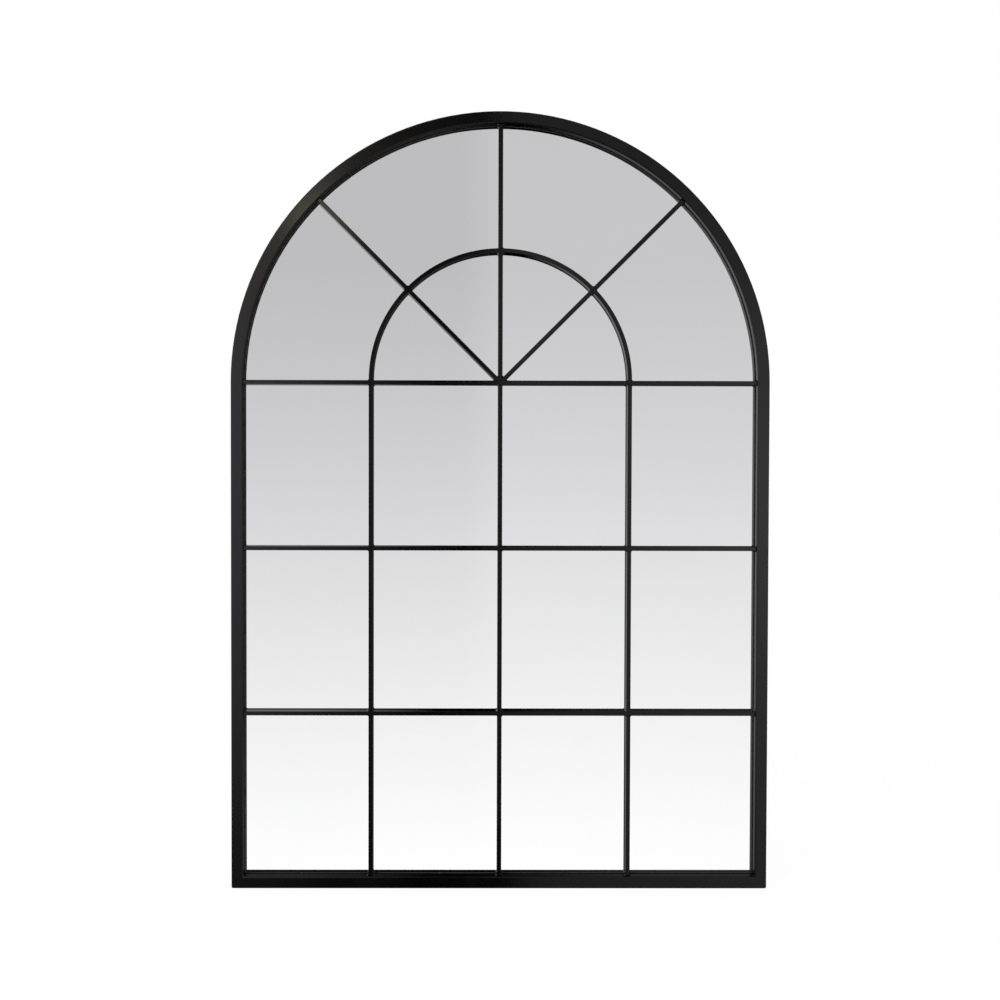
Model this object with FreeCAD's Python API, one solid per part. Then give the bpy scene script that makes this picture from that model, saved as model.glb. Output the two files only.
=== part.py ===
import FreeCAD, Part
import math
import os

# Arched window mirror: a welded steel window frame over one sheet of mirror glass.
#
# A rectangular hollow tube makes the frame: two stiles, a bottom rail and a half
# round head. Solid flat bars inside it divide the front into panes: three transoms,
# three rows of short uprights, and above them a fan of rays with a small arch across
# it. The glass lies against the backs of the bars, a thin board covers it, and bent
# tabs hold both. Two keyhole plates on the head hang the mirror on a wall.
#
# Axes: X to the right as seen from the front, Y towards the wall, Z up. The wall is the
# plane Y = 0, so everything else has a negative Y. Heights are worked out from the
# underside of the bottom rail, and each piece is moved at the end, so that the origin
# is the point of the wall midway between the two keyhole entries. All sizes are in mm.

# Frame outline and tube
OVERALL_WIDTH = 900.0
OVERALL_HEIGHT = 1300.0
TUBE_FACE = 20.0            # width of the tube as seen from the front
TUBE_DEPTH = 30.0
TUBE_WALL = 1.5
TUBE_EDGE_R = 2.0           # outer radius along the tube's edges
CORNER_GRIND_R = 4.0        # rounding of the two lower corners, seen from the front

# Glazing bars
BAR_WIDTH = 7.0
BAR_DEPTH = 15.0
BAR_EDGE = 0.6              # flat taken off the two front edges of a bar
BAR_SETBACK = 5.0           # front of the bars behind the front of the frame
UPRIGHTS = ("left", "centre", "right")
PANE_ROWS = ("lower", "middle", "upper")

# Weld beads in the corners where bars meet
BEAD_LEG = 2.6
HUB_BEAD_LEG = 4.0
BEAD_INSET = 0.8            # the beads stop this far short of the bars' fronts
BEAD_FACETS = 3             # flats across the hollow face of a bead

# Glass, edge tape and backing board
GLASS_THICK = 3.0
BOARD_THICK = 2.5
EDGE_GAP = 1.5              # from the edge of the glass to the frame
TAPE_CLEARANCE = 0.3        # from the tape round the glass to the frame
TAPE_JOINT = 2.0            # open joint between two lengths of tape
TAPE_JOINT_ANGLE = 26.7     # joint in the head, in degrees above the spring line
TAPE_JOINTS_SILL = (-335.0, -100.0)     # joints along the bottom, from the middle

# Bent tabs behind the board
TAB_WIDTH = 18.0
TAB_REACH = 12.0
TAB_THICK = 1.2
TAB_END_GAP = 0.5           # tab end short of the frame's back
TABS_STILE = 3
TABS_RAIL = 3
TABS_HEAD = 5

# Keyhole plates and wall pads, which stand between the frame and the wall
WALL_GAP = 2.0              # thickness of plates and pads
HANGER_SPACING = 600.0
HANGER_WIDTH = 18.0
KEYHOLE_ENTRY_R = 5.5
KEYHOLE_SLOT = 5.2
KEYHOLE_TRAVEL = 14.0
SCREW_HEAD_R = 5.0          # largest wall screw head that passes behind a plate
SCREW_HEAD_CLEARANCE = 1.5
HANGER_BEAD_LEG = 1.6
HANGER_BEAD_LENGTH = 13.0
PAD_WIDTH = 15.0
PAD_LENGTH = 40.0
PAD_HEIGHT = 30.0           # lower end of a pad above the bottom

# Planes from the wall to the front
BACK_Y = -WALL_GAP
FRONT_Y = BACK_Y - TUBE_DEPTH
BAR_FRONT_Y = FRONT_Y + BAR_SETBACK
GLASS_Y = BAR_FRONT_Y + BAR_DEPTH
BOARD_Y = GLASS_Y + GLASS_THICK
TAB_Y = BOARD_Y + BOARD_THICK

# Outline of the frame and its opening
HEAD_R = OVERALL_WIDTH / 2.0
SPRING_Z = OVERALL_HEIGHT - HEAD_R
OPENING_R = HEAD_R - TUBE_FACE
HALF_BAR = BAR_WIDTH / 2.0

# Panes: all of one width, and all of one height below the top transom, whose middle is
# on the spring line
PITCH_X = (2.0 * OPENING_R + BAR_WIDTH) / (len(UPRIGHTS) + 1)
PITCH_Z = (SPRING_Z + HALF_BAR - TUBE_FACE) / len(PANE_ROWS)
PANE_HEIGHT = PITCH_Z - BAR_WIDTH

# Fan: the small arch stands on the top transom, in line with the outer uprights
FAN_Z = SPRING_Z + HALF_BAR
FAN_R = PITCH_X
RAY_STEP = 180.0 / (len(UPRIGHTS) + 1)

# Keyhole plates: the upper end of each is on the middle of the tube
HANGER_X = HANGER_SPACING / 2.0


def height_on_circle(radius, x):
    """Height above the bottom of a circle about the head's centre, at this x."""
    return SPRING_Z + math.sqrt(radius ** 2 - x ** 2)


HANGER_TOP_Z = height_on_circle(HEAD_R - TUBE_FACE / 2.0, HANGER_X)
HANGER_SEAT_Z = (
    height_on_circle(OPENING_R, HANGER_X + SCREW_HEAD_R)
    - SCREW_HEAD_R
    - SCREW_HEAD_CLEARANCE
)
HANGER_ENTRY_Z = HANGER_SEAT_Z - KEYHOLE_TRAVEL


def vec(x, y, z):
    """Point or direction."""
    return FreeCAD.Vector(x, y, z)


def line(start, end):
    """Straight edge."""
    return Part.LineSegment(start, end).toShape()


def arc(start, middle, end):
    """Round edge through three points."""
    return Part.Arc(start, middle, end).toShape()


def polygon(points):
    """Face with straight sides through the points."""
    return Part.Face(Part.makePolygon(list(points) + [points[0]]))


def slab(points, front_y, back_y):
    """Straight-sided shape seen from the front, given its thickness in Y."""
    face = polygon([vec(x, front_y, z) for x, z in points])
    return face.extrude(vec(0, back_y - front_y, 0))


def arched_plate(inset, front_y, back_y):
    """Plate with the outline of the frame, brought in by the inset all round."""
    half = HEAD_R - inset
    low_left = vec(-half, front_y, inset)
    low_right = vec(half, front_y, inset)
    spring_right = vec(half, front_y, SPRING_Z)
    crown = vec(0, front_y, SPRING_Z + half)
    spring_left = vec(-half, front_y, SPRING_Z)
    edges = [
        line(low_left, low_right),
        line(low_right, spring_right),
        arc(spring_right, crown, spring_left),
        line(spring_left, low_left),
    ]
    face = Part.Face(Part.Wire(edges))
    return face.extrude(vec(0, back_y - front_y, 0))


def on_head(radius, degrees):
    """X and Z of a point on a circle about the head's centre, from +X upwards."""
    angle = math.radians(degrees)
    return radius * math.cos(angle), SPRING_Z + radius * math.sin(angle)


# ---------------------------------------------------------------- frame tube


def rounded_section(low, high, radius, place):
    """Rectangle from front to back of the frame, its corners rounded.

    It spans low to high across, and place(across, y) puts a point in its plane.
    """
    bend = radius * (1.0 - math.sqrt(0.5))
    ends = [
        place(low + radius, FRONT_Y),
        place(high - radius, FRONT_Y),
        place(high, FRONT_Y + radius),
        place(high, BACK_Y - radius),
        place(high - radius, BACK_Y),
        place(low + radius, BACK_Y),
        place(low, BACK_Y - radius),
        place(low, FRONT_Y + radius),
    ]
    bends = [
        place(high - bend, FRONT_Y + bend),
        place(high - bend, BACK_Y - bend),
        place(low + bend, BACK_Y - bend),
        place(low + bend, FRONT_Y + bend),
    ]
    edges = []
    for side, on_bend in enumerate(bends):
        start = ends[2 * side]
        end = ends[2 * side + 1]
        edges.append(line(start, end))
        edges.append(arc(end, on_bend, ends[(2 * side + 2) % len(ends)]))
    return Part.Face(Part.Wire(edges))


def tube_section(low, high, place):
    """Hollow section of the frame tube, rounded outside and square inside."""
    inside_low = low + TUBE_WALL
    inside_high = high - TUBE_WALL
    hollow = polygon(
        [
            place(inside_low, FRONT_Y + TUBE_WALL),
            place(inside_high, FRONT_Y + TUBE_WALL),
            place(inside_high, BACK_Y - TUBE_WALL),
            place(inside_low, BACK_Y - TUBE_WALL),
        ]
    )
    return rounded_section(low, high, TUBE_EDGE_R, place).cut(hollow)


def frame_head():
    """Half round tube, rolled to the radius of the head."""
    section = tube_section(OPENING_R, HEAD_R, lambda across, y: vec(across, y, SPRING_Z))
    return section.revolve(vec(0, 0, SPRING_Z), vec(0, -1, 0), 180)


def ground_corners():
    """Block as large as the lower frame, with its two lower corners rounded."""
    bend = CORNER_GRIND_R * (1.0 - math.sqrt(0.5))
    edges = []
    for side in (-1, 1):
        on_stile = vec(side * HEAD_R, FRONT_Y, CORNER_GRIND_R)
        on_bend = vec(side * (HEAD_R - bend), FRONT_Y, bend)
        on_rail = vec(side * (HEAD_R - CORNER_GRIND_R), FRONT_Y, 0)
        edges.append(arc(on_stile, on_bend, on_rail))
        edges.append(line(on_stile, vec(side * HEAD_R, FRONT_Y, SPRING_Z)))
    edges.append(line(vec(-HEAD_R, FRONT_Y, SPRING_Z), vec(HEAD_R, FRONT_Y, SPRING_Z)))
    half_rail = HEAD_R - CORNER_GRIND_R
    edges.append(line(vec(-half_rail, FRONT_Y, 0), vec(half_rail, FRONT_Y, 0)))
    face = Part.Face(Part.Wire(Part.__sortEdges__(edges)))
    return face.extrude(vec(0, TUBE_DEPTH, 0))


def stile(side):
    """Straight side tube, mitred at the bottom; side is -1 for left, 1 for right."""
    section = tube_section(
        OPENING_R, HEAD_R, lambda across, y: vec(side * across, y, 0)
    )
    mitre = slab(
        [
            (side * HEAD_R, 0),
            (side * OPENING_R, TUBE_FACE),
            (side * OPENING_R, SPRING_Z),
            (side * HEAD_R, SPRING_Z),
        ],
        FRONT_Y,
        BACK_Y,
    )
    return section.extrude(vec(0, 0, SPRING_Z)).common(mitre).common(ground_corners())


def bottom_rail():
    """Straight bottom tube, mitred at both ends."""
    section = tube_section(0, TUBE_FACE, lambda across, y: vec(-HEAD_R, y, across))
    mitre = slab(
        [
            (-HEAD_R, 0),
            (HEAD_R, 0),
            (OPENING_R, TUBE_FACE),
            (-OPENING_R, TUBE_FACE),
        ],
        FRONT_Y,
        BACK_Y,
    )
    rail = section.extrude(vec(OVERALL_WIDTH, 0, 0))
    return rail.common(mitre).common(ground_corners())


# -------------------------------------------------------------- glazing bars


def bar_section(place):
    """Section of a flat bar with eased front edges, centred on across = 0."""
    return polygon(
        [
            place(-HALF_BAR, GLASS_Y),
            place(HALF_BAR, GLASS_Y),
            place(HALF_BAR, BAR_FRONT_Y + BAR_EDGE),
            place(HALF_BAR - BAR_EDGE, BAR_FRONT_Y),
            place(BAR_EDGE - HALF_BAR, BAR_FRONT_Y),
            place(-HALF_BAR, BAR_FRONT_Y + BAR_EDGE),
        ]
    )


def opening_block():
    """Block that fills the opening of the frame."""
    return arched_plate(TUBE_FACE, FRONT_Y, BACK_Y)


def upright_x(column):
    """X of the middle of an upright, from the left."""
    return (column - (len(UPRIGHTS) - 1) / 2.0) * PITCH_X


def transom_z(row):
    """Height of the middle of the transom over a row of panes, from the bottom."""
    return TUBE_FACE + (row + 1) * PITCH_Z - HALF_BAR


def transom(row):
    """Bar across the whole opening, over a row of panes."""
    section = bar_section(lambda across, y: vec(-HEAD_R, y, transom_z(row) + across))
    return section.extrude(vec(OVERALL_WIDTH, 0, 0)).common(opening_block())


def upright(column, row):
    """Short bar between two transoms, or between the bottom rail and a transom."""
    low = TUBE_FACE + row * PITCH_Z
    section = bar_section(lambda across, y: vec(upright_x(column) + across, y, low))
    return section.extrude(vec(0, 0, PANE_HEIGHT))


def fan_arch():
    """Small arch across the fan, with its feet on the top transom."""
    section = bar_section(lambda across, y: vec(FAN_R + across, y, FAN_Z))
    return section.revolve(vec(0, 0, FAN_Z), vec(0, -1, 0), 180)


def fan_disc(radius):
    """Round block about the small arch's centre, deep enough to cut any bar."""
    return Part.makeCylinder(radius, TUBE_DEPTH, vec(0, FRONT_Y, FAN_Z), vec(0, 1, 0))


def ray_angle(index):
    """Angle of a ray of the fan; the first is the left one."""
    return 180.0 - (index + 1) * RAY_STEP


def ray(index):
    """Bar along a ray, from the middle of the fan to the frame, still untrimmed."""
    section = bar_section(lambda across, y: vec(across, y, SPRING_Z))
    bar = section.extrude(vec(0, 0, HEAD_R))
    bar.rotate(vec(0, 0, SPRING_Z), vec(0, 1, 0), 90.0 - ray_angle(index))
    return bar


def outer_ray(index):
    """Part of a ray between the small arch and the frame, with coped ends."""
    return ray(index).common(opening_block()).cut(fan_disc(FAN_R + HALF_BAR))


def over_transom():
    """Block over the top transom."""
    points = [
        (-HEAD_R, FAN_Z),
        (HEAD_R, FAN_Z),
        (HEAD_R, OVERALL_HEIGHT),
        (-HEAD_R, OVERALL_HEIGHT),
    ]
    return slab(points, FRONT_Y, BACK_Y)


def inner_ray(index):
    """Part of a ray inside the small arch, cut to fit the top transom.

    The middle ray is whole, and the others are cut along its sides.
    """
    bar = ray(index).common(fan_disc(FAN_R - HALF_BAR)).common(over_transom())
    middle = len(UPRIGHTS) // 2
    if index != middle:
        bar = bar.cut(ray(middle))
    return bar


# ---------------------------------------------------------------- weld beads


def bead(corner, first, second, leg):
    """Hollow-faced weld in the corner between two walls.

    The corner is an X and Z, and first and second are directions along the walls. The
    hollow face meets each wall at the leg's length from the corner.
    """
    first_angle = math.atan2(first[1], first[0])
    second_angle = math.atan2(second[1], second[0])
    turn = math.remainder(second_angle - first_angle, 2.0 * math.pi)
    half = abs(turn) / 2.0
    middle = first_angle + turn / 2.0
    radius = leg * math.tan(half)
    centre_x = corner[0] + leg / math.cos(half) * math.cos(middle)
    centre_z = corner[1] + leg / math.cos(half) * math.sin(middle)
    outline = [corner]
    for step in range(BEAD_FACETS + 1):
        share = 1.0 - 2.0 * step / BEAD_FACETS
        swing = math.copysign(math.pi / 2.0 - half, turn) * share
        angle = middle + math.pi + swing
        x = centre_x + radius * math.cos(angle)
        outline.append((x, centre_z + radius * math.sin(angle)))
    return slab(outline, BAR_FRONT_Y + BEAD_INSET, GLASS_Y)


def crossing_beads():
    """Beads where uprights meet transoms and the bottom rail."""
    beads = []
    for column in range(len(UPRIGHTS)):
        for side in (-1, 1):
            x = upright_x(column) + side * HALF_BAR
            for row in range(len(PANE_ROWS)):
                low = TUBE_FACE + row * PITCH_Z
                beads.append(bead((x, low), (side, 0), (0, 1), BEAD_LEG))
                high = low + PANE_HEIGHT
                beads.append(bead((x, high), (side, 0), (0, -1), BEAD_LEG))
    return beads


def transom_end_beads():
    """Beads where transoms meet the stiles."""
    beads = []
    for side in (-1, 1):
        for row in range(len(PANE_ROWS)):
            for up in (-1, 1):
                corner = (side * OPENING_R, transom_z(row) + up * HALF_BAR)
                beads.append(bead(corner, (-side, 0), (0, up), BEAD_LEG))
    return beads


def arch_foot_beads():
    """Beads where the small arch stands on the top transom."""
    beads = []
    for side in (-1, 1):
        for edge in (-1, 1):
            corner = (side * FAN_R + edge * HALF_BAR, FAN_Z)
            beads.append(bead(corner, (edge, 0), (0, 1), BEAD_LEG))
    return beads


def hub_beads():
    """Beads between the rays and the transom at the hub of the fan."""
    beads = []
    gap = math.radians(RAY_STEP)
    reach = HALF_BAR * (1.0 + math.cos(gap)) / math.sin(gap)
    for index in range(len(UPRIGHTS) + 1):
        low = index * gap
        x = reach * math.cos(low) - HALF_BAR * math.sin(low)
        z = reach * math.sin(low) + HALF_BAR * math.cos(low)
        first = (math.cos(low), math.sin(low))
        second = (math.cos(low + gap), math.sin(low + gap))
        beads.append(bead((x, SPRING_Z + z), first, second, HUB_BEAD_LEG))
    return beads


def ring_beads(radius, centre_z, outward):
    """Beads where the rays meet a round wall; outward is 1 outside it, -1 inside."""
    beads = []
    drop = SPRING_Z - centre_z
    for index in range(len(UPRIGHTS)):
        angle = math.radians(ray_angle(index))
        along = (math.cos(angle), math.sin(angle))
        for side in (-1, 1):
            x = -side * HALF_BAR * along[1]
            z = side * HALF_BAR * along[0] + drop
            shift = along[0] * x + along[1] * z
            reach = math.sqrt(shift ** 2 - x ** 2 - z ** 2 + radius ** 2) - shift
            out_x = x + reach * along[0]
            out_z = z + reach * along[1]
            along_ray = (outward * along[0], outward * along[1])
            along_wall = (-side * out_z, side * out_x)
            corner = (out_x, centre_z + out_z)
            beads.append(bead(corner, along_ray, along_wall, BEAD_LEG))
    return beads


def weld_beads():
    """All the beads between bars and frame, trimmed to the opening."""
    beads = crossing_beads() + transom_end_beads() + arch_foot_beads() + hub_beads()
    beads += ring_beads(FAN_R - HALF_BAR, FAN_Z, -1)
    beads += ring_beads(FAN_R + HALF_BAR, FAN_Z, 1)
    beads += ring_beads(OPENING_R, SPRING_Z, -1)
    opening = opening_block()
    return Part.makeCompound([piece.common(opening) for piece in beads])


# --------------------------------------------------- glass, tape, board, tabs


def mirror_glass():
    """One sheet of mirror glass, flat against the backs of the bars."""
    return arched_plate(TUBE_FACE + EDGE_GAP, GLASS_Y, BOARD_Y)


def edge_tape():
    """Tape round the edge of the glass, in lengths with open joints between them."""
    outer = arched_plate(TUBE_FACE + TAPE_CLEARANCE, GLASS_Y, BOARD_Y)
    tape = outer.cut(arched_plate(TUBE_FACE + EDGE_GAP, GLASS_Y, BOARD_Y))
    for x in TAPE_JOINTS_SILL:
        points = [
            (x - TAPE_JOINT / 2.0, 0),
            (x + TAPE_JOINT / 2.0, 0),
            (x + TAPE_JOINT / 2.0, 2.0 * TUBE_FACE),
            (x - TAPE_JOINT / 2.0, 2.0 * TUBE_FACE),
        ]
        tape = tape.cut(slab(points, FRONT_Y, BACK_Y))
    half_joint = math.degrees(TAPE_JOINT / 2.0 / OPENING_R)
    points = [
        on_head(FAN_R, TAPE_JOINT_ANGLE - half_joint),
        on_head(HEAD_R, TAPE_JOINT_ANGLE - half_joint),
        on_head(HEAD_R, TAPE_JOINT_ANGLE + half_joint),
        on_head(FAN_R, TAPE_JOINT_ANGLE + half_joint),
    ]
    return tape.cut(slab(points, FRONT_Y, BACK_Y))


def backing_board():
    """Thin board behind the glass."""
    return arched_plate(TUBE_FACE + EDGE_GAP, BOARD_Y, TAB_Y)


def tab_on_sill():
    """Bent tab standing on a level wall at height 0, reaching upwards, about X = 0."""
    bend_y = TAB_Y + TAB_THICK
    end_y = BACK_Y - TAB_END_GAP
    outline = [
        (bend_y, 0),
        (TAB_Y, TAB_THICK),
        (TAB_Y, TAB_REACH),
        (bend_y, TAB_REACH),
        (bend_y, TAB_THICK),
        (end_y, TAB_THICK),
        (end_y, 0),
    ]
    face = polygon([vec(-TAB_WIDTH / 2.0, y, z) for y, z in outline])
    return face.extrude(vec(TAB_WIDTH, 0, 0))


def board_tabs():
    """Tabs along the rail, the stiles and the head, bent over the board."""
    places = []
    for index in range(TABS_RAIL):
        share = (index + 0.5) / TABS_RAIL
        places.append(((2.0 * share - 1.0) * OPENING_R, TUBE_FACE, 0.0))
    for index in range(TABS_STILE):
        share = (index + 0.5) / TABS_STILE
        z = TUBE_FACE + share * (SPRING_Z - TUBE_FACE)
        places.append((-OPENING_R, z, 90.0))
        places.append((OPENING_R, z, -90.0))
    seat_r = math.sqrt(OPENING_R ** 2 - (TAB_WIDTH / 2.0) ** 2)
    for index in range(TABS_HEAD):
        angle = (index + 0.5) / TABS_HEAD * 180.0
        x, z = on_head(seat_r, angle)
        places.append((x, z, -90.0 - angle))
    tabs = []
    for x, z, turn in places:
        tab = tab_on_sill()
        tab.rotate(vec(0, 0, 0), vec(0, 1, 0), turn)
        tab.translate(vec(x, 0, z))
        tabs.append(tab)
    return Part.makeCompound(tabs)


# -------------------------------------------------- keyhole plates and pads


def upright_slot(x, low_z, high_z, width):
    """Block with round ends, from one end's centre to the other's, in the wall gap."""
    half = width / 2.0
    along_y = vec(0, 1, 0)
    low_end = Part.makeCylinder(half, WALL_GAP, vec(x, BACK_Y, low_z), along_y)
    high_end = Part.makeCylinder(half, WALL_GAP, vec(x, BACK_Y, high_z), along_y)
    points = [
        (x - half, low_z),
        (x + half, low_z),
        (x + half, high_z),
        (x - half, high_z),
    ]
    return slab(points, BACK_Y, 0).fuse([low_end, high_end]).removeSplitter()


def hanger_plate(side):
    """Plate with a keyhole, its upper end on the head's tube."""
    x = side * HANGER_X
    plate = upright_slot(x, HANGER_ENTRY_Z, HANGER_TOP_Z, HANGER_WIDTH)
    entry = Part.makeCylinder(
        KEYHOLE_ENTRY_R, WALL_GAP, vec(x, BACK_Y, HANGER_ENTRY_Z), vec(0, 1, 0)
    )
    slot = upright_slot(x, HANGER_ENTRY_Z, HANGER_SEAT_Z, KEYHOLE_SLOT)
    return plate.cut(entry.fuse(slot).removeSplitter())


def hanger_beads():
    """Welds along both sides of each plate, where it lies on the tube."""
    beads = []
    low = HANGER_TOP_Z - HANGER_BEAD_LENGTH
    for side in (-1, 1):
        for edge in (-1, 1):
            x = side * HANGER_X + edge * HANGER_WIDTH / 2.0
            face = polygon(
                [
                    vec(x, BACK_Y, low),
                    vec(x + edge * HANGER_BEAD_LEG, BACK_Y, low),
                    vec(x, BACK_Y + HANGER_BEAD_LEG, low),
                ]
            )
            blank = face.extrude(vec(0, 0, HANGER_BEAD_LENGTH))
            beads.append(blank.cut(arched_plate(TUBE_FACE, BACK_Y, 0)))
    return Part.makeCompound(beads)


def wall_pads():
    """Felt pads on the backs of the stiles, near the lower corners."""
    pads = []
    for side in (-1, 1):
        middle = side * (HEAD_R - TUBE_FACE / 2.0)
        start = vec(middle - PAD_WIDTH / 2.0, BACK_Y, PAD_HEIGHT)
        pads.append(Part.makeBox(PAD_WIDTH, WALL_GAP, PAD_LENGTH, start))
    return Part.makeCompound(pads)


# --------------------------------------------------------------------- export


def sub_parts():
    """Every piece of the mirror by its name."""
    parts = {
        "frame_head": frame_head(),
        "left_stile": stile(-1),
        "right_stile": stile(1),
        "bottom_rail": bottom_rail(),
        "fan_arch": fan_arch(),
        "weld_beads": weld_beads(),
        "mirror_glass": mirror_glass(),
        "edge_tape": edge_tape(),
        "backing_board": backing_board(),
        "board_tabs": board_tabs(),
        "left_hanger_plate": hanger_plate(-1),
        "right_hanger_plate": hanger_plate(1),
        "hanger_welds": hanger_beads(),
        "wall_pads": wall_pads(),
    }
    for row, height in enumerate(PANE_ROWS):
        parts[height + "_transom"] = transom(row)
        for column, place in enumerate(UPRIGHTS):
            parts[place + "_upright_" + height] = upright(column, row)
    for index, place in enumerate(UPRIGHTS):
        parts[place + "_ray_inner"] = inner_ray(index)
        parts[place + "_ray_outer"] = outer_ray(index)
    return parts


def main():
    """Write each piece to its own file, moved to the origin between the keyholes."""
    os.makedirs("parts", exist_ok=True)
    for name, shape in sub_parts().items():
        shape.translate(vec(0, 0, -HANGER_ENTRY_Z))
        shape.exportStep("parts/" + name + ".step")


main()
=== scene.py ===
import logging
import math
from dataclasses import dataclass, field
from enum import Enum
from typing import Callable

import bpy
from mathutils import Matrix, Vector


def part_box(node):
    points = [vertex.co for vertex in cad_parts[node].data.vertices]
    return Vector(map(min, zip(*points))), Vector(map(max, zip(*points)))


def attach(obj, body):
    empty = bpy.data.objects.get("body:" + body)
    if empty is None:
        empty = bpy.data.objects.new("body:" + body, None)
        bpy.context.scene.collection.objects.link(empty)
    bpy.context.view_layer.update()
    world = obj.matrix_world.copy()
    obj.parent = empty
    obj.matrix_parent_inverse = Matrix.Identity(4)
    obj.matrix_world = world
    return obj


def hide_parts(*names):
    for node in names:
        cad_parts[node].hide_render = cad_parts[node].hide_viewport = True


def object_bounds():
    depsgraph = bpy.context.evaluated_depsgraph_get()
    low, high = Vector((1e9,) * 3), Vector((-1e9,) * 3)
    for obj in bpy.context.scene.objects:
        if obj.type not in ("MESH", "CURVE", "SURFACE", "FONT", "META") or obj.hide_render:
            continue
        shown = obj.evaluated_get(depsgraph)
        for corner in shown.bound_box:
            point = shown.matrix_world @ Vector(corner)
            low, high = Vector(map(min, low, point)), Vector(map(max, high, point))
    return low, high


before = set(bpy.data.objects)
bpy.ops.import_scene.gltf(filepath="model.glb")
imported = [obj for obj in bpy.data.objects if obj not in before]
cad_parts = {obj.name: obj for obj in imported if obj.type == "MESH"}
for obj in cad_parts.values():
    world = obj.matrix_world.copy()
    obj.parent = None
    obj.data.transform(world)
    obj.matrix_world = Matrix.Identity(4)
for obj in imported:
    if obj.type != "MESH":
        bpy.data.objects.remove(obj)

# Arched window mirror: the finish of every piece, the finer shapes of its welds, tabs,
# keyhole plates and pads, and a plain white studio. Lengths are in metres.
# X is to the right seen from the front, Y is towards the wall and Z is up.

LOG = logging.getLogger("arched_window_mirror")
BODY = "root"
CAD_LOW, CAD_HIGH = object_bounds()
WHITE = (1.0, 1.0, 1.0, 1.0)
MERGE_WITHIN = 1e-6
FLAT_WITHIN = math.radians(0.5)
SMOOTH_UP_TO = math.radians(35.0)

Colour = tuple[float, float, float]
Span = tuple[float, float]
Ramp = tuple[tuple[float, float | Colour], ...]
Socket = bpy.types.NodeSocket
Source = Socket | float | tuple[float, ...]


class Slot(Enum):
    """Finishes of the part, by the name of their slot."""

    STEEL = "frame_black"
    MIRROR = "mirror_silver"
    FOAM = "edge_foam"
    BOARD = "hardboard"
    FELT = "grey_felt"


class Join(Enum):
    """Ways to lay layers of fibres over each other, by the name of the Math operation."""

    SUM = "ADD"
    HIGHEST = "MAXIMUM"


# ------------------------------------------------------------------ node graphs


@dataclass(frozen=True)
class Cloud:
    """Cloudy pattern of a material.

    Attributes:
        scale: Features per metre.
        detail: Number of finer layers.
        rough: Strength of the finer layers.
    """

    scale: float
    detail: float = 2.0
    rough: float = 0.5


@dataclass(frozen=True)
class Fibres:
    """Short fibres that lie across each other in a few directions.

    Attributes:
        cloud: Pattern across the fibres.
        turns: Directions, in degrees about Y from X.
        length: How many times as long as wide the fibres are.
        join: How the directions are laid over each other.
    """

    cloud: Cloud
    turns: tuple[float, ...]
    length: float
    join: Join


@dataclass(frozen=True)
class Relief:
    """Fine relief of a surface.

    Attributes:
        depth: Depth in metres.
        strength: Share of it that shows.
    """

    depth: float
    strength: float


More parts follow.
